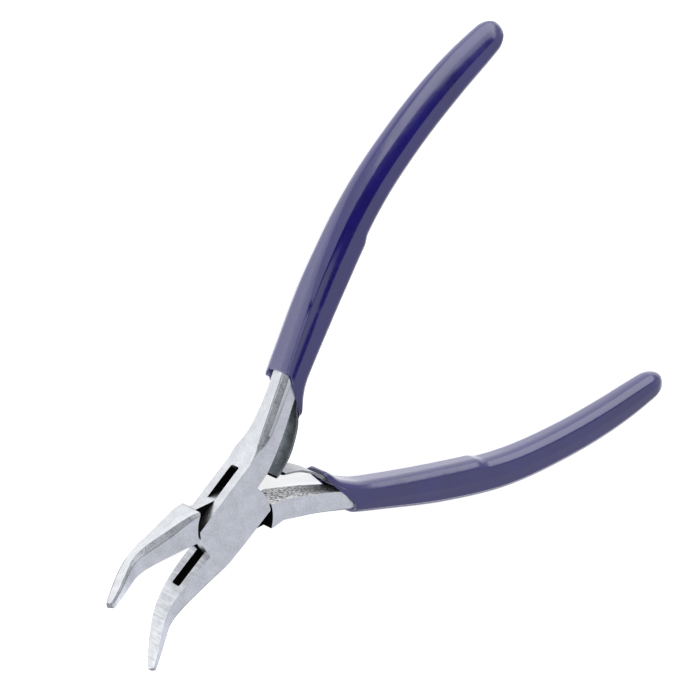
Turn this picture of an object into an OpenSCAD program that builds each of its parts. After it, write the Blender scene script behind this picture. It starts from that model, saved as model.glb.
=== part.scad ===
// Bent needle nose pliers: box joint, flush pivot pin, paired leaf springs and
// vinyl dipped grips. Millimetres. Pivot axis is Z through the origin, the back
// cheek lies on Z = 0, the jaws point along +X and stand open at rest.

/* [Joint] */
// Thickness of the box joint over both cheeks
joint_t = 6.6; // [6.2:0.1:7.2]
// Width of the slot through the box half
slot_w = 2.34; // [2.0:0.02:2.6]
// Radius of the round cheeks about the pivot
cheek_r = 6.65; // [6.4:0.05:6.8]
// Gap between a cheek and the shoulders of the tongue half
shoulder_gap = 0.35; // [0.2:0.05:0.5]
// Radius of the pivot pin
pin_r = 2.0; // [1.6:0.1:2.4]
// Running clearance between the pin and the tongue, and on each slot wall
running_gap = 0.05; // [0.02:0.01:0.1]
// Angle of each half from the middle line at rest
open_angle = 14; // [8:1:16]

/* [Jaws] */
// Distance from the pivot to the jaw tips
jaw_reach = 27.0; // [25:0.5:30]
// Height of the bent tips above the middle of the joint
tip_rise = 9.15; // [7:0.25:11]
// Width of each jaw at its tip
tip_w = 1.0; // [0.9:0.1:1.6]
// Gap left at each gripping face when the jaws are shut
grip_gap = 0.02; // [0.01:0.01:0.05]

/* [Springs] */
// Thickness of the leaf springs
leaf_t = 0.4; // [0.35:0.05:0.5]
// Width of the leaf springs
leaf_w = 4.6; // [4:0.1:4.8]
// Radius of the rivet under each leaf
rivet_r = 1.0; // [0.8:0.1:1.2]

/* [Grips] */
// Wall of the vinyl dip over the handle
vinyl_wall = 0.65; // [0.5:0.05:0.75]
// Roundness of the lip: how much thinner the dip is at its mouth
lip_thin = 0.12; // [0.05:0.01:0.2]
// Extra height of the crowned outer side
crown_h = 0.22; // [0:0.02:0.4]

/* [Hidden] */
$fn = 96;
mid_z = joint_t / 2;
shoulder_r = cheek_r + shoulder_gap;
tongue_t = slot_w - 2 * running_gap;
fit = 0.02;

// Handle centre lines, from the joint to the end of the tang
box_line = [[-9, -2.8], [-15, -4.3], [-21.3, -6.65], [-26.9, -8.75], [-40.7, -13.45],
    [-53.8, -16.85], [-66.5, -18.05], [-79.2, -17.9], [-92.7, -16.5]];
tongue_line = [[-9, -1.9], [-15, -3.95], [-21.3, -6.55], [-26.9, -8.7], [-40.7, -13.45],
    [-53.8, -16.85], [-66.5, -18.05], [-79.2, -17.9], [-92.7, -16.5]];

// Tang size along the handle: station against half width, half thickness,
// the width of the bevels beside its outer edge face
box_width = [[0, 1.9], [1, 1.72], [2, 1.6], [3, 1.85], [4, 2.4], [5, 2.48], [6.5, 2.48], [7.3, 2.3], [7.82, 1.9]];
tongue_width = [[0, 1.8], [1, 1.7], [2, 1.68], [3, 1.85], [4, 2.35], [5, 2.48], [6.5, 2.48], [7.3, 2.3], [7.82, 1.9]];
thickness = [[0, 3.28], [0.4, 3.22], [1, 2.95], [1.9, 2.6], [3, 2.52], [4, 2.3], [5, 2.1], [6, 1.9], [7, 1.75], [8, 1.45]];
box_bevel = [[0, 0.04], [0.25, 0.1], [0.6, 0.9], [1, 1.3], [2, 1.45], [4, 1.3], [8, 1.1]];
tongue_bevel = [[0, 0.04], [1, 0.2], [2, 0.5], [3, 1.1], [4, 1.3], [8, 1.1]];
tang_end = 7.82;
tang_stations = concat([for (u = [0 : 0.2 : 2.4]) u], [for (u = [2.75 : 0.35 : 7.35]) u], [7.6, tang_end]);

// Jaw sides: top and bottom outline in pairs, then the outer edge of each half
// at the front and at the back
jaw_top = [[4.6, 3.3], [6.2, 3.25], [8.6, 3.09], [10.7, 2.9], [13, 2.76], [15.2, 2.72], [16.9, 2.86],
    [18.2, 3.2], [19.5, 3.85], [21.2, 5.2], [23.4, 7.0], [25.2, 8.35], [26.4, 9.15]];
jaw_bottom = [[4.6, -3.3], [6.2, -3.3], [8.6, -3.25], [10.9, -3.12], [13.4, -2.75], [15.9, -1.95], [17.9, -0.95],
    [19.6, 0.25], [21.1, 1.55], [22.6, 3.0], [24.5, 5.0], [26.0, 6.7], [27.0, 8.0]];
box_front = [3.78, 3.75, 3.55, 3.3, 3.0, 2.65, 2.32, 2.05, 1.82, 1.56, 1.24, 1.02, 0.88];
box_back = [3.78, 3.75, 3.5, 3.22, 2.9, 2.56, 2.26, 2.0, 1.78, 1.54, 1.22, 1.0, 0.86];
tongue_front = [4.5, 4.74, 4.42, 3.98, 3.62, 3.32, 3.02, 2.72, 2.4, 2.0, 1.5, 1.2, 1.0];
tongue_back = [4.5, 4.7, 4.2, 3.55, 3.05, 2.68, 2.34, 2.05, 1.82, 1.58, 1.28, 1.1, 0.98];
box_jaw_bevel = [0.04, 0.15, 0.42, 0.48, 0.5, 0.48, 0.42, 0.36, 0.32, 0.3, 0.26, 0.24, 0.22];
tongue_jaw_bevel = [0.3, 0.45, 0.66, 0.78, 0.8, 0.72, 0.6, 0.5, 0.42, 0.36, 0.3, 0.26, 0.22];

// Free blades of the leaf springs, from the flex line to the tip, and the
// height of each leaf above its tang where it leaves the mouth of the grip
box_blade = [[-22.4, -4.65], [-20.4, -2.95], [-18.3, -1.4], [-16.2, -0.2], [-13.9, 0.75], [-10.8, 1.3]];
tongue_blade = [[-20.4, -3.5], [-18.8, -1.4], [-17.1, 0.4], [-15.3, 1.85], [-13.4, 2.9], [-11.4, 3.42]];
box_lift = [[1.4, 1.83], [1.6, 1.45], [1.8, 1.04], [2, 0.64], [2.2, 0.36], [2.5, 0.1], [2.7, 0]];
tongue_lift = [[1.2, 2.5], [1.4, 1.82], [1.6, 1.05], [1.8, 0.64], [2.05, 0.36], [2.4, 0.1], [2.7, 0]];
leaf_end = 4.48;
rivet_at = 3.7;

// Smooth line through a list of points, its direction and its left normal
function spline(p, u) =
    let (i = max(0, min(len(p) - 2, floor(u))), t = u - i,
        b = p[i], c = p[i + 1],
        a = i > 0 ? p[i - 1] : 2 * b - c,
        d = i + 2 < len(p) ? p[i + 2] : 2 * c - b)
    0.5 * (2 * b + (c - a) * t + (2 * a - 5 * b + 4 * c - d) * t * t + (3 * b - a - 3 * c + d) * t * t * t);
function heading(p, u) = let (v = spline(p, u + 0.02) - spline(p, u - 0.02)) v / norm(v);
function side(p, u) = let (h = heading(p, u)) [h[1], -h[0]];
function offset_point(p, u, w) = spline(p, u) + w * side(p, u);

// Closed skin over a stack of rings that all hold n points
function skin_faces(rings, n) = concat(
    [[for (k = [0 : n - 1]) n - 1 - k]],
    [for (i = [0 : rings - 2], k = [0 : n - 1]) [i * n + k, i * n + (k + 1) % n, (i + 1) * n + k]],
    [for (i = [0 : rings - 2], k = [0 : n - 1]) [i * n + (k + 1) % n, (i + 1) * n + (k + 1) % n, (i + 1) * n + k]],
    [[for (k = [0 : n - 1]) (rings - 1) * n + k]]);

module skin(points, rings, n) {
    polyhedron(points = points, faces = skin_faces(rings, n), convexity = 8);
}

// Section of the steel tang: square on the inner side, bevelled on the outer edge
function edge_face(u, bevel) = max(0.6, lookup(u, thickness) - 0.85 * lookup(u, bevel));
function tang_ring(p, width, bevel, u) =
    let (w = lookup(u, width), h = lookup(u, thickness), f = edge_face(u, bevel), b = lookup(u, bevel),
        outline = [[w, -h], [w, h], [b - w, h], [-w, f], [-w, -f], [b - w, -h]])
    [for (q = outline) let (c = offset_point(p, u, q[0])) [c[0], c[1], mid_z + q[1]]];

module tang(p, width, bevel) {
    skin([for (u = tang_stations) each tang_ring(p, width, bevel, u)], len(tang_stations), 6);
}

// Jaw as a stack of six sided sections, bent towards the front cheek
function reach(x) = x < 6 ? x : 6 + (x - 6) * (jaw_reach - 6) / 21;
function rise(z, x) = x < 16 ? z : z * (1 + (tip_rise / 9.15 - 1) * min(1, (x - 16) / 10));
function jaw_ring(front, back, bevel, i) =
    let (grow = (tip_w - 1) * pow(i / (len(front) - 1), 3), y = front[i] + grow, yb = back[i] + grow, c = bevel[i],
        t = [reach(jaw_top[i][0]), rise(jaw_top[i][1], jaw_top[i][0])],
        b = [reach(jaw_bottom[i][0]), rise(jaw_bottom[i][1], jaw_bottom[i][0])],
        d = (b - t) / norm(b - t) * c * 1.2)
    [[b[0], grip_gap, mid_z + b[1]], [t[0], grip_gap, mid_z + t[1]], [t[0], y - c, mid_z + t[1]],
        [t[0] + d[0], y, mid_z + t[1] + d[1]], [b[0] - d[0], yb, mid_z + b[1] - d[1]], [b[0], yb - c, mid_z + b[1]]];

module jaw(front, back, bevel) {
    skin([for (i = [0 : len(front) - 1]) each jaw_ring(front, back, bevel, i)], len(front), 6);
}

// Strip of constant thickness along a line of points, standing across the handle
function strip(line) = concat(
    [for (i = [0 : len(line) - 1]) line[i] + leaf_t / 2 * side(line, i)],
    [for (i = [len(line) - 1 : -1 : 0]) line[i] - leaf_t / 2 * side(line, i)]);

module leaf(line) {
    translate([0, 0, mid_z - leaf_w / 2])
        linear_extrude(leaf_w)
            polygon(strip(line));
}

module blade(points) {
    leaf([for (k = [0 : 20]) spline(points, k / 4)]);
    translate([points[0][0], points[0][1], mid_z - leaf_w / 2])
        cylinder(r = leaf_t / 2, h = leaf_w);
    translate([points[5][0], points[5][1], mid_z - leaf_w / 2])
        cylinder(r = leaf_t / 2, h = leaf_w);
}

// Clamped part of a leaf: on the tang to the mouth, then lifting to the flex line
function root_line(p, width, points) = concat(
    [for (u = [leaf_end, 4.15, 3.8, 3.45, 3.1, 2.75]) offset_point(p, u, lookup(u, width) + fit + leaf_t / 2)],
    [points[0]]);

module rivet_place(p, width) {
    c = offset_point(p, rivet_at, lookup(rivet_at, width) + fit + leaf_t);
    s = side(p, rivet_at);
    translate([c[0], c[1], mid_z])
        rotate([0, 0, atan2(s[1], s[0])])
            rotate([0, -90, 0])
                children();
}

module rivet() {
    cylinder(r = rivet_r, h = 3.4);
}

module spring_root(p, width, points) {
    difference() {
        leaf(root_line(p, width, points));
        translate([points[0][0], points[0][1], 0])
            cylinder(r = leaf_t / 2 + 0.04, h = joint_t);
        rivet_place(p, width)
            translate([0, 0, -1])
                cylinder(r = rivet_r, h = 3);
    }
}

// Vinyl dip: soft ten sided section with an oblique mouth, a step behind the leaf and
// a round end; its outer side is flat at the mouth and crowned further down
crown = [[2.6, 0], [3.6, 0.15], [4.4, 0.55], [5.2, 0.95], [6, 1], [8, 1]];
function ten(o, i, h, f, b, m, c) = [[i, c - h], [i, h - c], [i - c, h], [b - o, h], m, [-o, f],
    [-o, -f], [m[0], -m[1]], [b - o, -h], [i - c, -h]];
function between(a, b, k) = (1 - k) * a + k * b;
function soften(q, r) = [for (k = [0 : len(q) - 1])
    let (a = q[(k + len(q) - 1) % len(q)] - q[k], b = q[(k + 1) % len(q)] - q[k])
    each [q[k] + r * a / norm(a), q[k] + r * b / norm(b)]];
function inner_reach(u, width, lift) = lookup(u, width) + fit
    + (leaf_t + 0.06 + lookup(u, lift)) * max(0, min(1, (leaf_end + 0.12 - u) / 0.09));
function section(u, width, bevel, lift, g) =
    let (k = g > 0 ? lookup(u, crown) : 0, h = lookup(u, thickness) + fit + g,
        o = lookup(u, width) + fit + g + crown_h * k,
        b = between(lookup(u, bevel) + g * 0.1, o + 0.05, k),
        f = between(edge_face(u, bevel) + g * 0.35, 0.28 * h, k),
        m = between([b / 2 - o, (h + f) / 2], [-0.52 * o, 0.73 * h], k),
        shape = ten(o, inner_reach(u - g * 0.09, width, lift) + g, h, f, b, m, g > 0 ? 0.8 : 0.1))
    soften(shape, g > 0 ? 0.3 : 0.03);
function sleeve_ring(s, u, k, g) =
    let (p = s[0], width = s[1], bevel = s[2], lift = s[3], mouth = s[4], slant = s[5],
        plain = section(u, width, bevel, lift, g), o = plain[11][0], span = plain[0][0] - o,
        fade = max(0, 1 - (u - mouth) / 1.5))
    [for (i = [0 : 19])
        let (t = (plain[i][0] - o) / span, front = max(0, plain[i][1] / 3.2),
            v = u - fade * (slant * pow(t, 4) - 0.25 * front * (1 - t)),
            q = section(v, width, bevel, lift, g)[i],
            c = offset_point(p, v, q[0] * k))
        [c[0], c[1], mid_z + q[1] * k]];
function outer_stations(m) = concat([for (d = [0, 0.05, 0.14, 0.28, 0.48, 0.75, 1.05]) m + d],
    [for (u = [3.4 : 0.33 : 4.3]) u], [4.42, 4.5, 4.56, 4.62, 4.7, 4.8],
    [for (u = [5.1 : 0.33 : 7.6]) u], [7.74, 7.82, 7.88, 7.92, 7.955, 7.98, 8.0]);
function inner_stations(m) = concat([tang_end + 0.01, 7.6], [for (u = [7.2 : -0.33 : 4.8]) u],
    [4.61, 4.51], [for (u = [4.4 : -0.33 : 3.3]) u], [for (d = [1.05, 0.75, 0.48, 0.28, 0.14, 0.05, 0]) m + d]);
function end_round(u) = u < 7.74 ? 1 : sqrt(max(0.03, 1 - pow((u - 7.74) / 0.262, 2)));

// The skin runs from the round end along the outside to the mouth, then back inside
module sleeve(s) {
    mouth = s[4];
    outer = outer_stations(mouth);
    inner = inner_stations(mouth);
    outer_rings = [for (k = [len(outer) - 1 : -1 : 0]) each sleeve_ring(s, outer[k],
        end_round(outer[k]) * (outer[k] < mouth + 0.03 ? 1 - lip_thin : 1), vinyl_wall)];
    inner_rings = [for (k = [len(inner) - 1 : -1 : 0]) each sleeve_ring(s, inner[k], 1, 0)];
    skin(concat(outer_rings, inner_rings), len(outer) + len(inner), 20);
}

module half_frame(flip) {
    if (flip)
        mirror([0, 1, 0])
            rotate([0, 0, open_angle])
                children();
    else
        rotate([0, 0, open_angle])
            children();
}

module box_half() {
    color([0.74, 0.75, 0.79])
        half_frame(false)
            difference() {
                union() {
                    intersection() {
                        cylinder(r = cheek_r, h = joint_t);
                        linear_extrude(joint_t)
                            polygon([[-8, -4.7], [-0.5, -4.57], [8, -4.35], [8, 3.6], [1.35, 3.8], [-8, 3.85]]);
                    }
                    linear_extrude(joint_t)
                        polygon([[-10.2, -4.85], [-5.8, -4.66], [-0.5, -4.57], [-0.5, -0.7], [-6.6, -0.78],
                            [-9.15, -0.9], [-10.2, -1.12]]);
                    tang(box_line, box_width, box_bevel);
                    jaw(box_front, box_back, box_jaw_bevel);
                }
                translate([-7.4, -10, mid_z - slot_w / 2])
                    cube([20.8, 20, slot_w]);
                translate([0, 0, -1])
                    cylinder(r = pin_r, h = joint_t + 2);
                rivet_place(box_line, box_width)
                    cylinder(r = rivet_r, h = 3.45);
            }
}

module tongue_half() {
    color([0.72, 0.73, 0.77])
        half_frame(true)
            difference() {
                union() {
                    difference() {
                        union() {
                            linear_extrude(joint_t)
                                polygon([[-10.2, -4.05], [-5.5, -3.9], [-5.5, 0.08], [-8.4, 0.03], [-10.2, -0.38]]);
                            tang(tongue_line, tongue_width, tongue_bevel);
                            jaw(tongue_front, tongue_back, tongue_jaw_bevel);
                        }
                        translate([0, 0, -1])
                            cylinder(r = shoulder_r, h = joint_t + 2);
                    }
                    intersection() {
                        translate([0, 0, mid_z - tongue_t / 2])
                            cylinder(r = shoulder_r + 0.4, h = tongue_t);
                        translate([0, 0, mid_z - tongue_t / 2])
                            linear_extrude(tongue_t)
                                polygon([[-8, 0.02], [-3.4, 2.7], [-1.9, 4.25], [5, 4.5], [7, 4.5], [8, 3.8], [8, 0.02],
                                    [6.95, 0.02], [5.8, -2.6], [3.6, -3.7], [-4, -3.75], [-8, -3.8]]);
                    }
                }
                translate([0, 0, -1])
                    cylinder(r = pin_r + running_gap, h = joint_t + 2);
                rivet_place(tongue_line, tongue_width)
                    cylinder(r = rivet_r, h = 3.45);
            }
}

module pivot_pin() {
    color([0.70, 0.71, 0.75])
        cylinder(r = pin_r, h = joint_t);
}

module box_spring_root() {
    color([0.42, 0.45, 0.49])
        half_frame(false)
            spring_root(box_line, box_width, box_blade);
}

module box_spring_blade() {
    color([0.42, 0.45, 0.49])
        half_frame(false)
            blade(box_blade);
}

module tongue_spring_root() {
    color([0.62, 0.65, 0.68])
        half_frame(true)
            spring_root(tongue_line, tongue_width, tongue_blade);
}

module tongue_spring_blade() {
    color([0.62, 0.65, 0.68])
        half_frame(true)
            blade(tongue_blade);
}

module box_spring_rivet() {
    color([0.55, 0.56, 0.60])
        half_frame(false)
            rivet_place(box_line, box_width)
                rivet();
}

module tongue_spring_rivet() {
    color([0.55, 0.56, 0.60])
        half_frame(true)
            rivet_place(tongue_line, tongue_width)
                rivet();
}

module box_grip_sleeve() {
    color([0.25, 0.24, 0.50])
        half_frame(false)
            sleeve([box_line, box_width, box_bevel, box_lift, 2.25, 0.66]);
}

module tongue_grip_sleeve() {
    color([0.25, 0.24, 0.50])
        half_frame(true)
            sleeve([tongue_line, tongue_width, tongue_bevel, tongue_lift, 2.08, 0.85]);
}

box_half();
tongue_half();
pivot_pin();
box_spring_root();
box_spring_blade();
tongue_spring_root();
tongue_spring_blade();
box_spring_rivet();
tongue_spring_rivet();
box_grip_sleeve();
tongue_grip_sleeve();
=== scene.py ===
"""Bent needle nose pliers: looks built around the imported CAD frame."""

import math
from collections import namedtuple

import bmesh
import bpy
import numpy as np
from mathutils import Euler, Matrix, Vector

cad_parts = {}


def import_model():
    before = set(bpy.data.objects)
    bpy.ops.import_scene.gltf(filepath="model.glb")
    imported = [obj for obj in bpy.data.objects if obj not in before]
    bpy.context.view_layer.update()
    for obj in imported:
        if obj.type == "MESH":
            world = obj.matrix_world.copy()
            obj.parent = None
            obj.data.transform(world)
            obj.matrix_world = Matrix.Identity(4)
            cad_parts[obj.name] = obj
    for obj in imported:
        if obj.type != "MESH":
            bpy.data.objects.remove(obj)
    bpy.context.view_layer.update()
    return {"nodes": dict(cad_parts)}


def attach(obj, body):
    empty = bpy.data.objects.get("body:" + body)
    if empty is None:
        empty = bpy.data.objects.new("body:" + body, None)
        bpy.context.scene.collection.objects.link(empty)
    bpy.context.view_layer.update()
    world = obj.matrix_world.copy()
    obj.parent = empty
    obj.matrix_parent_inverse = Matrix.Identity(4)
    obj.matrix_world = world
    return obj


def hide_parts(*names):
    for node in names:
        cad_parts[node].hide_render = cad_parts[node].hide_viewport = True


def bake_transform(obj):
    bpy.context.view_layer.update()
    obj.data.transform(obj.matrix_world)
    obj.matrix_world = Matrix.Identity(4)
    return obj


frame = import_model()

# ---------------------------------------------------------------- sizes, mm
MM = 0.001
JOINT_T = 6.6
MID_Z = JOINT_T / 2
OPEN = math.radians(14)
THROUGH = (-1, 8)
SLOT_W = 2.34
SLOT_X = (-7.4, 13.4)
TONGUE_W = 2.24
CHEEK_R = 6.65
SHOULDER_R = 7.0
PIN_R = 2.0
PIN_PLAY = 0.05
EASE = 0.07
JAW_TIP_X = 26.2
FORGED_X = (-24, -6)
# Painted shade on the handle flute starts below this x
HANDLE_SHADE_X = -8
LEAF_T = 0.4
LEAF_W = 4.6
LEAF_FLARE = 0.5
# Reach of the painted shade around each leaf's tip, in mm
LEAF_TIP_SHADE = 0.45
WALL = 0.65
LIP_THIN = 0.45
CROWN_H = 0.22
DIP_MOST_H = 3.29
FIT = 0.02

# Lines down the middle of each handle, with the half turned shut
TAIL = [(-26.9, -8.75), (-40.7, -13.45), (-53.8, -16.85), (-66.5, -18.05), (-79.2, -17.9), (-92.7, -16.5)]
BOX_LINE = [(-9, -2.8), (-15, -4.3), (-21.3, -6.65)] + TAIL
TONGUE_LINE = [(-9, -1.9), (-15, -3.95), (-21.3, -6.55), (-26.9, -8.7)] + TAIL[1:]

# Values along a handle: station, counted in points of its line, and half width, half thickness or bevel
WIDTH_TAIL = [(5, 2.48), (6.5, 2.48), (7.3, 2.3), (7.82, 1.9)]
BOX_WIDTH = [(0, 1.9), (1, 1.72), (2, 1.6), (3, 1.85), (4, 2.4)] + WIDTH_TAIL
TONGUE_WIDTH = [(0, 1.8), (1, 1.7), (2, 1.68), (3, 1.85), (4, 2.35)] + WIDTH_TAIL
THICKNESS = [(0, 3.3), (0.3, 3.26), (1, 2.95), (1.9, 2.6), (3, 2.52), (4, 2.3), (5, 2.1), (6, 1.9),
             (7, 1.75), (8, 1.45)]
BOX_BEVEL = [(0, 0.04), (0.25, 0.1), (0.6, 0.9), (1, 1.3), (2, 1.45), (4, 1.3), (8, 1.1)]
TONGUE_BEVEL = [(0, 0.04), (1, 0.2), (2, 0.5), (3, 1.1), (4, 1.3), (8, 1.1)]

# Places along a handle, in stations: ends of the leaf and the tang, how far the slant of a mouth
# reaches, and the round end of the dip
LEAF_END = 4.48
TANG_END = 7.82
MOUTH_FADE = 1.5
ROUND_START = 7.74
ROUND_LENGTH = 0.262

# The dips along the same stations: share of the crown, edge facet, groove depth, rise of the outer side
BOX_CROWN = [(2.6, 0), (3.6, 0.15), (4.4, 0.55), (5.2, 0.95), (6, 1), (8, 1)]
TONGUE_CROWN = [(2.6, 0), (4, 0.2), (6, 0.42), (8, 0.6)]
BOX_EDGE = [(0, 0.9), (8, 0.9)]
TONGUE_EDGE = [(2.2, 0.9), (3, 1.15), (4.45, 1.2), (8, 1.2)]
BOX_LEDGE = [(2.2, 0.24), (3.2, 0.26), (3.8, 0.2), (4.3, 0.1), (4.8, 0)]
TONGUE_LEDGE = [(2.5, 0), (3, 0.1), (3.6, 0.17), (4.2, 0.1), (4.8, 0)]
BOX_RISE = [(2.2, 0.3), (3.4, 0.3), (4.2, 0.14), (4.8, 0)]
TONGUE_RISE = [(0, 0), (8, 0)]

# Mouths of the dips: height where the arch starts, height it takes, rise in stations, then the slant
# from the outer side (0) to the inner side (1)
BOX_ARCH = (-3.2, 1.6, 0.36)
TONGUE_ARCH = (0, 3.2, 0.25)
BOX_MOUTH = [(0, 0.1), (0.2, 0.05), (0.42, 0.26), (0.55, 0.38), (0.7, 0.52), (0.82, 0.64), (0.92, 0.8),
             (1, 1)]
TONGUE_MOUTH = [(0, 0), (0.5, 0.07), (0.72, 0.2), (0.8, 0.42), (0.86, 0.74), (0.94, 0.94), (1, 1)]

# Handle root between the joint and the tang: x, outer y, inner y
BOX_ROOT = [(-0.5, -4.57, -0.7), (-3.2, -4.6, -0.74), (-5.8, -4.66, -0.77)]
TONGUE_ROOT = [(-5.5, -3.9, 0.06), (-6.6, -3.88, 0.06)]

# Outlines of the box joint's band and of the tongue that runs through it
BAND = [(-8, -4.7), (-0.5, -4.57), (8, -4.35), (8, 3.6), (1.35, 3.8), (-8, 3.85)]
TONGUE_PLATE = [(-8, 0.02), (-3.4, 2.7), (-1.9, 4.25), (5, 4.5), (7, 4.5), (8, 3.8), (8, 0.02),
                (6.95, 0.02), (5.8, -2.6), (3.6, -3.7), (-4, -3.75), (-8, -3.8)]

# Jaws: upper and lower edge of the side view, then depth and bevel at each of those points
JAW_TOP = [(4.6, 3.3), (6.2, 3.29), (8.6, 3.09), (10.7, 2.9), (13, 2.76), (15.2, 2.72), (16.9, 2.86),
           (18.2, 3.2), (19.5, 3.85), (21.2, 5.2), (23.4, 7.0), (25.2, 8.35), (26.4, 9.15)]
JAW_BOTTOM = [(4.6, -3.3), (6.2, -3.29), (8.6, -3.25), (10.9, -3.12), (13.4, -2.75), (15.9, -1.95),
              (17.9, -0.95), (19.6, 0.25), (21.1, 1.55), (22.6, 3.0), (24.5, 5.0), (26.0, 6.7), (27.0, 8.0)]
BOX_FRONT = [3.78, 3.75, 3.55, 3.3, 3.0, 2.65, 2.32, 2.05, 1.82, 1.56, 1.24, 1.02, 0.88]
BOX_BACK = [3.78, 3.75, 3.5, 3.22, 2.9, 2.56, 2.26, 2.0, 1.78, 1.54, 1.22, 1.0, 0.86]
TONGUE_FRONT = [4.5, 4.74, 4.42, 3.98, 3.62, 3.32, 3.02, 2.72, 2.4, 2.0, 1.5, 1.2, 1.0]
TONGUE_BACK = [4.5, 4.7, 4.2, 3.55, 3.05, 2.68, 2.34, 2.05, 1.82, 1.58, 1.28, 1.1, 0.98]
BOX_JAW_BEVEL = [0.04, 0.15, 0.42, 0.48, 0.5, 0.48, 0.42, 0.36, 0.32, 0.3, 0.26, 0.24, 0.22]
TONGUE_JAW_BEVEL = [0.3, 0.45, 0.66, 0.78, 0.8, 0.72, 0.6, 0.5, 0.42, 0.36, 0.3, 0.26, 0.22]

# Free part of each leaf spring, and how far it has lifted off the tang at each station
BOX_BLADE = [(-22.4, -4.65), (-20.4, -2.95), (-18.3, -1.4), (-16.2, -0.2), (-13.9, 0.75), (-10.0, 1.42)]
TONGUE_BLADE = [(-20.4, -3.5), (-18.8, -1.4), (-17.1, 0.4), (-15.3, 1.85), (-13.4, 2.9), (-10.8, 3.56)]
BOX_LIFT = [(1.4, 1.83), (1.6, 1.45), (1.8, 1.04), (2, 0.64), (2.2, 0.36), (2.5, 0.1), (2.7, 0)]
TONGUE_LIFT = [(1.2, 2.5), (1.4, 1.82), (1.6, 1.05), (1.8, 0.64), (2.05, 0.36), (2.4, 0.1), (2.7, 0)]


# ---------------------------------------------------------------- curves
def lookup(table, u):
    """Smooth value from a table of stations, flat outside it."""
    t = np.asarray(table, float)
    x, y = t[:, 0], t[:, 1]
    if u <= x[0]:
        return float(y[0])
    if u >= x[-1]:
        return float(y[-1])
    i = int(np.searchsorted(x, u, side="right")) - 1
    step = np.diff(x)
    slope = np.diff(y) / step

    def tangent(k):
        if k == 0 or k == len(x) - 1:
            return slope[min(k, len(slope) - 1)]
        a, b = slope[k - 1], slope[k]
        return 0.0 if a * b <= 0 else 2 * a * b / (a + b)

    s = (u - x[i]) / step[i]
    a, b = tangent(i) * step[i], tangent(i + 1) * step[i]
    ends = (2 * s**3 - 3 * s**2 + 1) * y[i] + (s**3 - 2 * s**2 + s) * a
    return float(ends + (3 * s**2 - 2 * s**3) * y[i + 1] + (s**3 - s**2) * b)


def spline(p, u):
    """Point on a smooth line through the points, u counted in points."""
    i = max(0, min(len(p) - 2, math.floor(u)))
    t = u - i
    b, c = np.array(p[i], float), np.array(p[i + 1], float)
    a = np.array(p[i - 1], float) if i > 0 else 2 * b - c
    d = np.array(p[i + 2], float) if i + 2 < len(p) else 2 * c - b
    bend = (2 * a - 5 * b + 4 * c - d) * t * t
    return 0.5 * (2 * b + (c - a) * t + bend + (3 * b - a - 3 * c + d) * t**3)


def side(p, u):
    """Unit normal of the line, towards the inner side of the handle."""
    v = spline(p, u + 0.02) - spline(p, u - 0.02)
    v = v / np.linalg.norm(v)
    return np.array([v[1], -v[0]])


def offset_point(p, u, w):
    """Point beside the line, w to its inner side."""
    return spline(p, u) + w * side(p, u)


def rounded(corners, radii, steps=4):
    """Closed outline with each corner replaced by a short curve."""
    out = []
    n = len(corners)
    c = [np.array(q, float) for q in corners]
    for k in range(n):
        a, b = c[k - 1] - c[k], c[(k + 1) % n] - c[k]
        la, lb = np.linalg.norm(a), np.linalg.norm(b)
        ra, rb = min(radii[k], 0.46 * la), min(radii[k], 0.46 * lb)
        start, end = c[k] + a / la * ra, c[k] + b / lb * rb
        for j in range(steps + 1):
            t = j / steps
            out.append((1 - t) ** 2 * start + 2 * t * (1 - t) * c[k] + t * t * end)
    return out


# ---------------------------------------------------------------- meshes
def mesh_object(name, points, faces):
    mesh = bpy.data.meshes.new(name)
    mesh.from_pydata([tuple(map(float, p)) for p in points], [], faces)
    work = bmesh.new()
    work.from_mesh(mesh)
    bmesh.ops.recalc_face_normals(work, faces=work.faces)
    work.to_mesh(mesh)
    work.free()
    obj = bpy.data.objects.new(name, mesh)
    bpy.context.scene.collection.objects.link(obj)
    return obj


def skin(name, rings):
    """Closed skin over a stack of rings with the same number of points."""
    n, m = len(rings[0]), len(rings)
    faces = [tuple(range(n)), tuple((m - 1) * n + k for k in range(n))]
    for i in range(m - 1):
        for k in range(n):
            j = (k + 1) % n
            faces.append((i * n + k, i * n + j, (i + 1) * n + j, (i + 1) * n + k))
    return mesh_object(name, [p for r in rings for p in r], faces)


def prism(name, outline, low, high):
    return skin(name, [[(x, y, low) for x, y in outline], [(x, y, high) for x, y in outline]])


def circle(radius, count=144):
    angles = [2 * math.pi * k / count for k in range(count)]
    return [(radius * math.cos(a), radius * math.sin(a)) for a in angles]


def boolean(target, tool, operation):
    """Joins or cuts target with tool, and removes the tool."""
    modifier = target.modifiers.new("cut", "BOOLEAN")
    modifier.operation = operation
    modifier.solver = "EXACT"
    modifier.object = tool
    bake(target)
    bpy.data.objects.remove(tool)
    return target


def bake(obj):
    """Applies the object's modifiers to its mesh."""
    graph = bpy.context.evaluated_depsgraph_get()
    graph.update()
    mesh = bpy.data.meshes.new_from_object(obj.evaluated_get(graph))
    obj.modifiers.clear()
    obj.data = mesh
    return obj


def soften_edges(obj, width, angle, segments=2):
    """Small round on the sharp edges that the cuts leave."""
    work = bmesh.new()
    work.from_mesh(obj.data)
    bmesh.ops.remove_doubles(work, verts=work.verts, dist=0.004)
    bmesh.ops.dissolve_limit(work, angle_limit=math.radians(0.3), verts=work.verts, edges=work.edges)
    work.to_mesh(obj.data)
    work.free()
    modifier = obj.modifiers.new("edges", "BEVEL")
    modifier.width = width
    modifier.segments = segments
    modifier.limit_method = "ANGLE"
    modifier.angle_limit = math.radians(angle)
    modifier.use_clamp_overlap = True
    modifier.miter_outer = "MITER_SHARP"
    return bake(obj)


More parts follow.
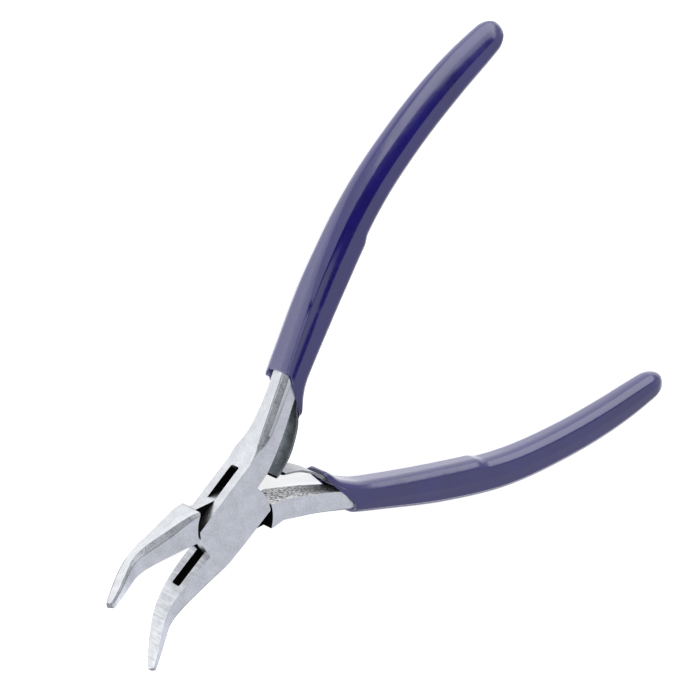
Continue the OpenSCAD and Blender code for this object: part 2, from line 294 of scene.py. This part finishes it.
def to_frame(obj, flip):
    """From the closed half's own plane, in mm, to the row frame at rest, in metres."""
    mesh = obj.data
    co = np.empty(len(mesh.vertices) * 3)
    mesh.vertices.foreach_get("co", co)
    co = co.reshape(-1, 3)
    c, s = math.cos(OPEN), math.sin(OPEN)
    x, y = co[:, 0] * c - co[:, 1] * s, co[:, 0] * s + co[:, 1] * c
    co = np.stack([x, -y if flip else y, co[:, 2]], 1) * MM
    mesh.vertices.foreach_set("co", co.ravel())
    if flip:
        mesh.flip_normals()
    mesh.update()
    return obj


def finish_piece(obj, body, materials, nodes, smooth_angle=30, choose=None):
    mesh = obj.data
    mesh.materials.clear()
    for material in materials:
        mesh.materials.append(material)
    if choose:
        for face, number in zip(mesh.polygons, choose):
            face.material_index = number
    mesh.polygons.foreach_set("use_smooth", [True] * len(mesh.polygons))
    mesh.set_sharp_from_angle(angle=math.radians(smooth_angle))
    weighted = obj.modifiers.new("normals", "WEIGHTED_NORMAL")
    weighted.keep_sharp = True
    weighted.weight = 50
    if body:
        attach(obj, body)
    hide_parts(*nodes)
    return obj


# ---------------------------------------------------------------- materials
def node_material(name):
    """A node material, with its tree and its shader."""
    material = bpy.data.materials.new(name)
    material.use_nodes = True
    tree = material.node_tree
    shader = next(n for n in tree.nodes if n.type == "BSDF_PRINCIPLED")
    return material, tree, shader


def texture(tree, kind, scale, stretch=(1, 1, 1), turn=0.0, **sockets):
    """A noise or other texture on the piece's own coordinates, in millimetres."""
    place = tree.nodes.new("ShaderNodeTexCoord")
    mapping = tree.nodes.new("ShaderNodeMapping")
    mapping.inputs["Scale"].default_value = [1000 * s for s in stretch]
    mapping.inputs["Rotation"].default_value = (0, 0, turn)
    tree.links.new(place.outputs["Object"], mapping.inputs["Vector"])
    node = tree.nodes.new(kind)
    node.inputs["Scale"].default_value = scale
    for key, value in sockets.items():
        node.inputs[key].default_value = value
    tree.links.new(mapping.outputs["Vector"], node.inputs["Vector"])
    return node


def ramp(tree, source, stops):
    """Colour or grey from a value, by stops of (position, colour or grey)."""
    node = tree.nodes.new("ShaderNodeValToRGB")
    elements = node.color_ramp.elements
    while len(elements) < len(stops):
        elements.new(0.5)
    for element, (where, value) in zip(elements, stops):
        element.position = where
        element.color = (*value, 1) if isinstance(value, tuple) else (value, value, value, 1)
    tree.links.new(source, node.inputs["Fac"])
    return node.outputs["Color"]


def mix(tree, factor, a, b, blend="MIX"):
    """Mix of a and b, each a socket, a colour or a number."""
    node = tree.nodes.new("ShaderNodeMix")
    node.data_type = "RGBA"
    node.blend_type = blend
    for socket, value in ((node.inputs[0], factor), (node.inputs[6], a), (node.inputs[7], b)):
        if isinstance(value, bpy.types.NodeSocket):
            tree.links.new(value, socket)
        elif isinstance(value, tuple):
            socket.default_value = (*value, 1)
        else:
            socket.default_value = value
    return node.outputs[2]


def bump(tree, shader, layers):
    """Stacks height textures onto the shader's normal; layers are (height, distance in mm, strength)."""
    last = None
    for height, distance, strength in layers:
        node = tree.nodes.new("ShaderNodeBump")
        node.inputs["Distance"].default_value = distance * MM
        node.inputs["Strength"].default_value = strength
        tree.links.new(height, node.inputs["Height"])
        if last is not None:
            tree.links.new(last, node.inputs["Normal"])
        last = node.outputs["Normal"]
    tree.links.new(last, shader.inputs["Normal"])


def steel(name, colour, dark, roughness, stretch=(1, 1, 1), turn=0.0, grain=1.0, relief=0.004):
    """Bare steel: grinding grain over slow clouds, from dark to colour, with relief in mm."""
    material, tree, shader = node_material(name)
    shader.inputs["Metallic"].default_value = 1.0
    fine = texture(tree, "ShaderNodeTexNoise", 9.0 * grain, stretch, turn, Detail=6.0, Roughness=0.65)
    cloud = texture(tree, "ShaderNodeTexNoise", 0.45, Detail=4.0, Roughness=0.6)
    both = mix(tree, 0.4, fine.outputs["Fac"], cloud.outputs["Fac"])
    tree.links.new(ramp(tree, both, [(0.4, dark), (0.58, colour)]), shader.inputs["Base Color"])
    rough = ramp(tree, both, [(0.25, roughness * 1.3), (0.75, roughness * 0.75)])
    tree.links.new(rough, shader.inputs["Roughness"])
    bump(tree, shader, [(fine.outputs["Fac"], relief, 1.0)])
    return material


def forged_steel(name):
    """Rough as-forged face: pale scale with dark pits, darkened towards the dip as painted shade."""
    material, tree, shader = node_material(name)
    shader.inputs["Metallic"].default_value = 0.25
    pits = texture(tree, "ShaderNodeTexNoise", 2.5, Detail=6.0, Roughness=0.75)
    lumps = texture(tree, "ShaderNodeTexVoronoi", 2.2)
    pit, scale, bare = (0.008, 0.008, 0.01), (0.75, 0.76, 0.79), (1.0, 1.0, 1.0)
    spots = ramp(tree, pits.outputs["Fac"], [(0.44, pit), (0.485, scale), (0.56, bare)])
    # Painted shade: the face darkens towards the dip, where the sleeve and the leaf shade it
    along = tree.nodes.new("ShaderNodeSeparateXYZ")
    tree.links.new(pits.inputs["Vector"].links[0].from_socket, along.inputs[0])
    shade_near_dip = tree.nodes.new("ShaderNodeMapRange")
    shade_near_dip.inputs["From Min"].default_value = -19.5
    shade_near_dip.inputs["From Max"].default_value = -12.5
    tree.links.new(along.outputs["X"], shade_near_dip.inputs["Value"])
    shade = ramp(tree, shade_near_dip.outputs["Result"], [(0.0, (0.1, 0.1, 0.12)), (1.0, (1.0, 1.0, 1.0))])
    tree.links.new(mix(tree, 1.0, spots, shade, "MULTIPLY"), shader.inputs["Base Color"])
    tree.links.new(ramp(tree, pits.outputs["Fac"], [(0.3, 0.75), (0.7, 0.42)]), shader.inputs["Roughness"])
    bump(tree, shader, [(lumps.outputs["Distance"], 0.05, 0.6), (pits.outputs["Fac"], 0.12, 1.0)])
    return material


def black_steel(name):
    """Near-black steel: the joint's dark oxide, darkened further as painted shade, with a little bare metal
    showing through.
    """
    material, tree, shader = node_material(name)
    shader.inputs["Specular IOR Level"].default_value = 0.04
    fine = texture(tree, "ShaderNodeTexNoise", 3.0, Detail=6.0, Roughness=0.7)
    oxide_and_shade, metal = (0.0006, 0.0006, 0.0008), (0.005, 0.0055, 0.006)
    tint = ramp(tree, fine.outputs["Fac"], [(0.4, oxide_and_shade), (0.8, metal)])
    tree.links.new(tint, shader.inputs["Base Color"])
    tree.links.new(ramp(tree, fine.outputs["Fac"], [(0.3, 0.65), (0.7, 0.45)]), shader.inputs["Roughness"])
    bump(tree, shader, [(fine.outputs["Fac"], 0.02, 0.8)])
    return material


def vinyl(name):
    """Glossy dipped PVC with the slow unevenness and fine pimples of a dip."""
    material, tree, shader = node_material(name)
    slow = texture(tree, "ShaderNodeTexNoise", 0.16, Detail=3.0, Roughness=0.5)
    fine = texture(tree, "ShaderNodeTexNoise", 2.4, Detail=5.0, Roughness=0.6)
    specks = texture(tree, "ShaderNodeTexVoronoi", 1.1)
    dots = ramp(tree, specks.outputs["Distance"], [(0.0, 1.0), (0.09, 0.0)])
    tint = ramp(tree, slow.outputs["Fac"], [(0.3, (0.0045, 0.0016, 0.1)), (0.7, (0.0065, 0.0028, 0.13))])
    tree.links.new(mix(tree, dots, tint, (0.04, 0.036, 0.16)), shader.inputs["Base Color"])
    tree.links.new(ramp(tree, fine.outputs["Fac"], [(0.3, 0.27), (0.7, 0.2)]), shader.inputs["Roughness"])
    shader.inputs["Specular IOR Level"].default_value = 0.9
    shader.inputs["Coat Weight"].default_value = 0.6
    shader.inputs["Coat Roughness"].default_value = 0.08
    unevenness, pimples = (slow.outputs["Fac"], 0.25, 0.5), (fine.outputs["Fac"], 0.02, 0.8)
    bump(tree, shader, [unevenness, pimples, (dots, 0.03, 0.5)])
    return material


SATIN = steel("satin_steel", (0.81, 0.84, 0.94), (0.64, 0.665, 0.745), 0.36, grain=0.42, relief=0.02)
BRIGHT = steel("bright_steel", (0.60, 0.615, 0.64), (0.48, 0.495, 0.525), 0.3, grain=0.45, relief=0.012)
CROSS = steel("cross_ground_steel", (0.66, 0.68, 0.71), (0.46, 0.47, 0.50), 0.32,
              stretch=(1.9, 0.16, 0.16), turn=-0.25, grain=0.14, relief=0.025)
# Flute steel: the same steel made darker, painted shade on the jaw chamfers and tip ends
SHADED_FLUTE = steel("flute_steel", (0.28, 0.29, 0.315), (0.16, 0.17, 0.19), 0.4, grain=0.4, relief=0.015)
# Handle flute: the same steel made darker, painted shade on the bevelled facets beside the handle's outer
# edge
SHADED_HANDLE_FLUTE = steel("handle_flute_painted_shade", (0.30, 0.31, 0.335), (0.15, 0.155, 0.175), 0.42,
               grain=0.4, relief=0.02)
FORGED = forged_steel("forged_steel")
# Near-black: the joint's dark oxide with painted shade, also used for the painted shade on the leaf tips
BLACK = black_steel("black_oxide_and_painted_shade")
# The two leaves are one spring steel: this darker copy is painted shade for the box leaf, which faces into
# the handle's shade, and the next is the lit copy
SHADED_SPRING = steel("spring_steel_painted_shade", (0.27, 0.31, 0.335), (0.09, 0.105, 0.115), 0.32,
                    stretch=(1.2, 1.2, 1.6), grain=0.5)
LIGHT_SPRING = steel("spring_steel", (0.38, 0.39, 0.42), (0.27, 0.28, 0.31), 0.28, stretch=(0.3, 0.3, 2.0))
VINYL = vinyl("dipped_vinyl")
STEELS = [SATIN, BRIGHT, CROSS, BLACK, FORGED, SHADED_FLUTE, SHADED_HANDLE_FLUTE]


# ---------------------------------------------------------------- steel halves
def handle_ring(outer, inner, h, bevel):
    """Section of a handle: square inner side, fluted bevels beside the outer edge face."""
    across = inner - outer
    span = np.linalg.norm(across)
    across = across / span
    f = max(0.6, h - 0.85 * bevel)
    drop = h - f
    near = [(span, h), (bevel, h), (0.45 * bevel, h - 0.3 * drop), (0.17 * bevel, f + 0.1 * drop),
            (0.13 * bevel, f - 0.06 * drop), (0, f - 0.02 * drop)]
    soft = min(0.3, 0.1 + bevel * 0.3)
    radii = [0.12, 0.1, soft, 0.05, 0.04, 0.08]
    far = [(x, -z) for x, z in reversed(near)]
    flat = rounded(far[-1:] + near + far[:-1], radii[:1] + radii + radii[:0:-1])
    return [(*(outer + q[0] * across), MID_Z + q[1]) for q in flat]


def handle(name, root, line, width, bevel):
    """Handle from inside the joint to the end of the tang under the dip."""
    rings = []
    for x, outer, inner in root:
        rings.append(handle_ring(np.array([x, outer]), np.array([x, inner]), MID_Z, 0.04))
    stations = list(np.arange(0, 2.6, 0.1)) + list(np.arange(2.75, 7.5, 0.35)) + [7.6, TANG_END]
    for u in stations:
        w = lookup(width, u)
        outer, inner = offset_point(line, u, -w), offset_point(line, u, w)
        rings.append(handle_ring(outer, inner, lookup(THICKNESS, u), lookup(bevel, u)))
    return skin(name, rings)


def jaw(name, front, back, edge):
    """Jaw as a stack of six sided sections bent up towards the front cheek, with a blunt eased tip."""
    count = len(front)

    def at(values, s):
        return lookup(list(enumerate(values)), s)

    stations = [0] + list(np.arange(0.25, count - 1.01, 0.25)) + [count - 1.12, count - 1.04, count - 1]
    eased = {len(stations) - 2: 0.03, len(stations) - 1: 0.1}
    rings = []
    for index, s in enumerate(stations):
        t, b = spline(JAW_TOP, s), spline(JAW_BOTTOM, s)
        y, yb, c = at(front, s), at(back, s), at(edge, s)
        inset = eased.get(index, 0)
        down = (b - t) / np.linalg.norm(b - t)
        tall = np.linalg.norm(b - t)
        corners = [(tall - inset, 0.02 + inset), (inset, 0.02 + inset), (inset, y - c - inset * 0.4),
                   (c * 1.2 + inset * 0.4, y - inset), (tall - c * 1.2 - inset * 0.4, yb - inset),
                   (tall - inset, yb - c - inset * 0.4)]
        flat = rounded(corners, [0.07, 0.07, 0.12, 0.14, 0.14, 0.12])
        rings.append([(t[0] + down[0] * q[0], q[1], MID_Z + t[1] + down[1] * q[0]) for q in flat])
    return skin(name, rings)


def slot_cutter():
    """Bar with rounded corners that cuts the slot right through the joint."""
    (back, front), half = SLOT_X, SLOT_W / 2
    outline = rounded([(back, -half), (front, -half), (front, half), (back, half)], [0.42] * 4, 5)
    return skin("slot", [[(x, y, MID_Z + z) for x, z in outline] for y in (-10, 10)])


def paint_faces(obj, choose):
    """The slot number of each face's steel, chosen from its centre and normal in the closed half's plane."""
    return [STEELS.index(choose(face.center, face.normal)) for face in obj.data.polygons]


def outside_steel(c, n, bite_x, flute_x, bent_x):
    """Steel of a face outside the joint: the jaw's biting face, flute and bent sides start at the given x."""
    if c.x > bite_x and n.y < -0.8:
        return CROSS
    # Painted shade: jaw chamfers and tip ends get the darker flute steel
    if c.x > flute_x and (0.25 < n.y < 0.93 or c.x > JAW_TIP_X and n.x > 0.7):
        return SHADED_FLUTE
    if abs(n.z) > (0.45 if c.x > bent_x else 0.9):
        return SATIN
    if FORGED_X[0] < c.x < FORGED_X[1] and n.y > 0.75:
        return FORGED
    # Painted shade: the handle's flute facets get the darker steel
    if c.x < HANDLE_SHADE_X and n.y < -0.2 and abs(n.z) > 0.3:
        return SHADED_HANDLE_FLUTE
    return BRIGHT


def box_half():
    """Upper handle, both cheeks of the box joint and the lower right jaw, with slot and pin bore."""
    obj = handle("box_half_steel", BOX_ROOT, BOX_LINE, BOX_WIDTH, BOX_BEVEL)
    cheeks = prism("cheeks", circle(CHEEK_R), 0, JOINT_T)
    boolean(cheeks, prism("band", BAND, *THROUGH), "INTERSECT")
    boolean(obj, cheeks, "UNION")
    boolean(obj, jaw("jaw", BOX_FRONT, BOX_BACK, BOX_JAW_BEVEL), "UNION")
    boolean(obj, slot_cutter(), "DIFFERENCE")
    boolean(obj, prism("bore", circle(PIN_R), *THROUGH), "DIFFERENCE")
    soften_edges(obj, EASE, angle=40)

    def choose(c, n):
        in_slot = abs(c.z - MID_Z) < SLOT_W / 2 + 0.01 and SLOT_X[0] - 0.1 < c.x < SLOT_X[1] + 0.05
        # Slot and bore faces get the near-black steel: dark oxide with painted shade
        if in_slot and (abs(n.z) > 0.8 or abs(n.x) > 0.8):
            return BLACK
        if math.hypot(c.x, c.y) < PIN_R + 0.02 and abs(n.z) < 0.5:
            return BLACK
        return outside_steel(c, n, bite_x=6.4, flute_x=7.4, bent_x=6)

    paint = paint_faces(obj, choose)
    to_frame(obj, False)
    return finish_piece(obj, "box_side", STEELS, ["box_half"], choose=paint)


def tongue_half():
    """Lower handle, shoulders, the tongue through the slot and the upper left jaw, with the pin bore."""
    obj = handle("tongue_half_steel", TONGUE_ROOT, TONGUE_LINE, TONGUE_WIDTH, TONGUE_BEVEL)
    boolean(obj, jaw("jaw", TONGUE_FRONT, TONGUE_BACK, TONGUE_JAW_BEVEL), "UNION")
    boolean(obj, prism("shoulders", circle(SHOULDER_R), *THROUGH), "DIFFERENCE")
    low, high = MID_Z - TONGUE_W / 2, MID_Z + TONGUE_W / 2
    plate = prism("plate", circle(SHOULDER_R + 0.4), low, high)
    boolean(plate, prism("outline", TONGUE_PLATE, 0, 6), "INTERSECT")
    boolean(obj, plate, "UNION")
    boolean(obj, prism("bore", circle(PIN_R + PIN_PLAY), *THROUGH), "DIFFERENCE")
    soften_edges(obj, EASE, angle=40)

    def choose(c, n):
        r = math.hypot(c.x, c.y)
        # Inside the shoulders the tongue and shoulder walls get the near-black steel, dark oxide with painted
        # shade; the ground top edge stays bright
        if r < SHOULDER_R + 0.02:
            return BRIGHT if n.y > 0.7 and c.y > 4.0 else BLACK
        if abs(r - SHOULDER_R) < 0.05 and abs(n.z) < 0.5:
            return BLACK
        return outside_steel(c, n, bite_x=6, flute_x=5, bent_x=5)

    paint = paint_faces(obj, choose)
    to_frame(obj, True)
    return finish_piece(obj, "tongue_side", STEELS, ["tongue_half"], choose=paint)


def pivot_pin():
    """Pin ground flush with both cheeks."""
    obj = prism("pivot_pin_steel", circle(PIN_R), 0, JOINT_T)
    to_frame(obj, False)
    return finish_piece(obj, "box_side", [SATIN], ["pivot_pin"])


# ---------------------------------------------------------------- leaf springs
def leaf(name, line, width, blade, flip):
    """One springy strip: flat on the tang under the dip, lifting out of the mouth, free to its tip."""
    clamped = (LEAF_END, 4.15, 3.8, 3.45, 3.1, 2.75)
    path = [offset_point(line, u, lookup(width, u) + FIT + LEAF_T / 2) for u in clamped]
    path += [spline(blade, k / 6) for k in range(31)]
    path = [tuple(p) for p in path]
    count = len(path)
    rings = []
    stations = list(np.linspace(0, count - 1, 2 * count - 1))
    lengths = np.array([np.linalg.norm(spline(path, s) - spline(path, count - 1)) for s in stations])
    for s, left in zip(stations, lengths):
        c, n = spline(path, s), side(path, s)
        flare = min(1.0, max(0.0, (s - 9) / 9))
        half = LEAF_W / 2 + LEAF_FLARE * flare * flare * (3 - 2 * flare) - max(0.0, 0.9 - left) ** 2 * 0.5
        thin = LEAF_T / 2
        flat = rounded([(thin, -half), (thin, half), (-thin, half), (-thin, -half)], [0.1] * 4, 3)
        rings.append([(*(c + q[0] * n), MID_Z + q[1]) for q in flat])
    obj = skin(name, rings)
    to_frame(obj, flip)
    return obj


def build_leaf(name, line, width, blade, flip, material, half):
    """Leaf spring with painted shade, near-black, on its tip, running from its clamped root to its free
    blade.
    """
    obj = leaf(name, line, width, blade, flip)
    root, first = np.array(blade[0]), np.array(blade[1])
    c, s = math.cos(OPEN), math.sin(OPEN)

    def at(p):
        x, y = p[0] * c - p[1] * s, p[0] * s + p[1] * c
        return Vector((x * MM, (-y if flip else y) * MM, MID_Z * MM))

    tip = at(blade[-1])
    # Painted shade: faces near the tip get the near-black steel, standing in for the shadow where the two
    # leaf tips meet
    tip_shade = []
    for face in obj.data.polygons:
        away = math.hypot(face.center.x - tip.x, face.center.y - tip.y)
        tip_shade.append(1 if away < LEAF_TIP_SHADE * MM else 0)
    nodes = [f"{half}_spring_root", f"{half}_spring_blade"]
    finish_piece(obj, None, [material, BLACK], nodes, choose=tip_shade)
    at(root)
    at(first)
    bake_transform(obj)
    return obj


# ---------------------------------------------------------------- grips
Dip = namedtuple("Dip", "line width bevel lift mouth slant oblique crown edge groove rise arch")
BOX_DIP = Dip(BOX_LINE, BOX_WIDTH, BOX_BEVEL, BOX_LIFT, mouth=2.32, slant=0.76, oblique=BOX_MOUTH,
              crown=BOX_CROWN, edge=BOX_EDGE, groove=BOX_LEDGE, rise=BOX_RISE, arch=BOX_ARCH)
TONGUE_DIP = Dip(TONGUE_LINE, TONGUE_WIDTH, TONGUE_BEVEL, TONGUE_LIFT, mouth=2.08, slant=0.85,
                 oblique=TONGUE_MOUTH, crown=TONGUE_CROWN, edge=TONGUE_EDGE, groove=TONGUE_LEDGE,
                 rise=TONGUE_RISE, arch=TONGUE_ARCH)


def inner_section(dip, u, h, inner, outer):
    """Section of the inner skin, which follows the tang and its bevel."""
    b = lookup(dip.bevel, u)
    f = max(0.6, h - 0.85 * b)
    near = [(inner, h - 0.1), (inner - 0.1, h), (0.85 * inner, h), (0.7 * inner, h), (0.35 * inner, h),
            (b - outer, h), (0.6 * b - outer, 0.6 * h + 0.4 * f), (0.3 * b - outer, 0.3 * h + 0.7 * f),
            (-outer, f)]
    return rounded(near + [(x, -y) for x, y in reversed(near)], [0.05] * 18, 4)


def section(dip, u, grow):
    """Section of the dip, grown outwards from the tang: grooved near the mouth, crowned further down."""
    h = min(DIP_MOST_H, lookup(THICKNESS, u) + FIT + grow)
    outer = lookup(dip.width, u) + FIT + grow
    under = u - grow * 0.09
    step = min(1.0, max(0.0, (LEAF_END + 0.12 - under) / 0.16))
    step = step * step * (3 - 2 * step)
    inner = lookup(dip.width, under) + FIT + (LEAF_T + 0.06 + lookup(dip.lift, under)) * step + grow
    if grow == 0:
        return inner_section(dip, u, h, inner, outer)
    k = lookup(dip.crown, u)
    outer += CROWN_H * k
    ledge = h - lookup(dip.groove, u)
    brow = ledge + lookup(dip.rise, u)
    flat = [(-0.25, h), (-0.95, ledge), (0.75 - outer, brow - 0.12), (0.62 - outer, brow - 0.3),
            (0.4 - outer, brow - 0.4), (-outer, h - 1.3)]
    crowned = [(0.05, h), (-0.3 * outer, 0.88 * h), (-0.52 * outer, 0.75 * h), (-0.62 * outer, 0.66 * h),
               (-0.74 * outer, 0.55 * h), (-outer, 0.28 * h)]
    near = [tuple((1 - k) * p + k * q for p, q in zip(x, y)) for x, y in zip(flat, crowned)]
    e = lookup(dip.edge, u)
    near = [(inner, h - 0.95 * e), (inner - e, h), (0.62 * (inner - e), h)] + near
    far = [(x, -y) for x, y in reversed(near)]
    radii = [0.95, max(0.45, 1.5 - 0.8 * e), 0.3, 0.2, 0.35, 0.08 + 0.5 * k, 0.07 + 0.5 * k,
             0.12 + 0.5 * k, 0.5 + 0.4 * k]
    return rounded(near + far, radii + radii[::-1], 4)


def sleeve_ring(dip, u, scale, grow, gap=0.0):
    """One ring of the dip, slid along the handle so that the mouth slants and arches."""
    plain = section(dip, u, grow)
    low = min(q[0] for q in plain)
    span = max(q[0] for q in plain) - low
    fade = max(0.0, 1 - (u - dip.mouth) / MOUTH_FADE)
    arch_start, arch_height, arch_rise = dip.arch
    ring = []
    for k, q in enumerate(plain):
        t = (q[0] - low) / span
        front = min(1.0, max(0.0, (q[1] - arch_start) / arch_height))
        v = u - fade * (dip.slant * lookup(dip.oblique, t) - arch_rise * front * (1 - t))
        p = section(dip, v, grow)[k]
        back_corner = max(0.0, 1 - t * 1.6) * max(0.0, -q[1] / 3.2) * gap
        across, up = p[0] * scale - back_corner, p[1] * scale - back_corner * 0.4
        c = offset_point(dip.line, v, across)
        ring.append((c[0], c[1], MID_Z + up))
    return ring


def sleeve(name, dip, flip, body, node):
    """Dip with an outer and an inner skin, thinner at its lip and round at its end."""
    mouth = dip.mouth
    outside = [mouth + d for d in (0, 0.015, 0.04, 0.09, 0.16, 0.25, 0.36, 0.5, 0.66, 0.85, 1.05, 1.25)]
    outside += list(np.arange(3.45, 4.35, 0.12)) + list(np.arange(4.4, 4.9, 0.035))
    outside += list(np.arange(4.95, 7.7, 0.16))
    outside += [ROUND_START, 7.78, 7.82, 7.86, 7.895, 7.925, 7.95, 7.97, 7.985, 7.995, 8.0]
    inside = [mouth + d for d in (0, 0.03, 0.1, 0.25, 0.5, 0.9)]
    inside += list(np.arange(3.4, 4.45, 0.2)) + [4.5, 4.6]
    inside += list(np.arange(4.8, 7.4, 0.4)) + [7.6, TANG_END + 0.01]

    def end(u):
        past = max(0.0, (u - ROUND_START) / ROUND_LENGTH)
        return math.sqrt(max(0.02, 1 - past**2))

    def lip(u):
        d = u - mouth
        return 0.0 if d > 0.06 else (1 - d / 0.06) ** 2

    outside = [u for k, u in enumerate(outside) if u > max([0] + outside[:k])]
    inside = [u for k, u in enumerate(inside) if u > max([0] + inside[:k])]
    rings = []
    for u in reversed(outside):
        rings.append(sleeve_ring(dip, u, end(u), WALL * (1 - LIP_THIN * lip(u))))
    for u in inside:
        rings.append(sleeve_ring(dip, u, 1.0, 0.0, 0.3 * math.exp(-(u - mouth) / 0.12)))
    obj = skin(name, rings)
    to_frame(obj, flip)
    return finish_piece(obj, body, [VINYL], [node], smooth_angle=50)


# ---------------------------------------------------------------- build
box_half()
tongue_half()
pivot_pin()
build_leaf("box_leaf_spring", BOX_LINE, BOX_WIDTH, BOX_BLADE, False, SHADED_SPRING, "box")
build_leaf("tongue_leaf_spring", TONGUE_LINE, TONGUE_WIDTH, TONGUE_BLADE, True, LIGHT_SPRING, "tongue")
sleeve("box_grip_vinyl", BOX_DIP, False, "box_side", "box_grip_sleeve")
sleeve("tongue_grip_vinyl", TONGUE_DIP, True, "tongue_side", "tongue_grip_sleeve")
for rivet in ("box_spring_rivet", "tongue_spring_rivet"):
    data = frame["nodes"][rivet].data
    data.materials.clear()
    data.materials.append(SATIN)


# ---------------------------------------------------------------- studio
def floor():
    """Pale floor, a hair under the pliers."""
    half, low = 3, -0.00006
    corners = [(-half, -half, low), (half, -half, low), (half, half, low), (-half, half, low)]
    mesh = bpy.data.meshes.new("studio_floor")
    mesh.from_pydata(corners, [], [(0, 1, 2, 3)])
    obj = bpy.data.objects.new("studio_floor", mesh)
    bpy.context.scene.collection.objects.link(obj)
    material, tree, shader = node_material("pale_floor")
    shader.inputs["Base Color"].default_value = (0.93, 0.93, 0.93, 1)
    shader.inputs["Roughness"].default_value = 0.9
    shader.inputs["Specular IOR Level"].default_value = 0.1
    shader.inputs["Emission Color"].default_value = (1, 1, 1, 1)
    shader.inputs["Emission Strength"].default_value = 0.6
    mesh.materials.append(material)


def softbox(name, direction, distance, size, power):
    """Rectangular light that faces the pliers from the given direction."""
    light = bpy.data.lights.new(name, "AREA")
    light.shape = "RECTANGLE"
    light.size, light.size_y = size
    light.energy = power
    obj = bpy.data.objects.new(name, light)
    d = Vector(direction).normalized()
    obj.location = d * distance
    obj.rotation_euler = d.to_track_quat("Z", "Y").to_euler()
    bpy.context.scene.collection.objects.link(obj)


def world():
    """White tent: bright towards the front, greyer behind and overhead, with a dark opening near the top."""
    sky = bpy.data.worlds.new("studio")
    sky.use_nodes = True
    tree = sky.node_tree
    back = tree.nodes["Background"]
    place = tree.nodes.new("ShaderNodeTexCoord")

    def toward(direction, stops):
        dot = tree.nodes.new("ShaderNodeVectorMath")
        dot.operation = "DOT_PRODUCT"
        dot.inputs[1].default_value = Vector(direction).normalized()
        tree.links.new(place.outputs["Generated"], dot.inputs[0])
        return ramp(tree, dot.outputs["Value"], stops)

    front = toward((0.1, -0.95, 0.1), [(0.0, 0.57), (0.3, 0.7), (0.8, 0.72)])
    opening = toward((-0.28, -0.22, 0.93), [(0.885, 1.0), (0.932, 0.015)])
    tree.links.new(mix(tree, 1.0, front, opening, "MULTIPLY"), back.inputs["Color"])
    back.inputs["Strength"].default_value = 1.2
    bpy.context.scene.world = sky


def camera():
    """Camera fitted to the photo's view of the handles, cheeks and jaws."""
    data = bpy.data.cameras.new("camera")
    data.lens = 107.66
    data.sensor_width = 36
    data.clip_start, data.clip_end = 0.01, 20
    obj = bpy.data.objects.new("camera", data)
    obj.location = (0.088666, -0.173355, 0.283095)
    obj.rotation_euler = Euler([math.radians(a) for a in (-13.232, -34.0148, 149.438)], "XYZ")
    bpy.context.scene.collection.objects.link(obj)
    bpy.context.scene.camera = obj


floor()
softbox("key", (0.9, -0.45, 0.7), 0.8, (0.8, 0.8), 1.2)
softbox("fill", (-0.62, -0.59, 0.5), 0.8, (0.8, 0.8), 3.4)
world()
camera()
bpy.context.scene.view_settings.view_transform = "Standard"
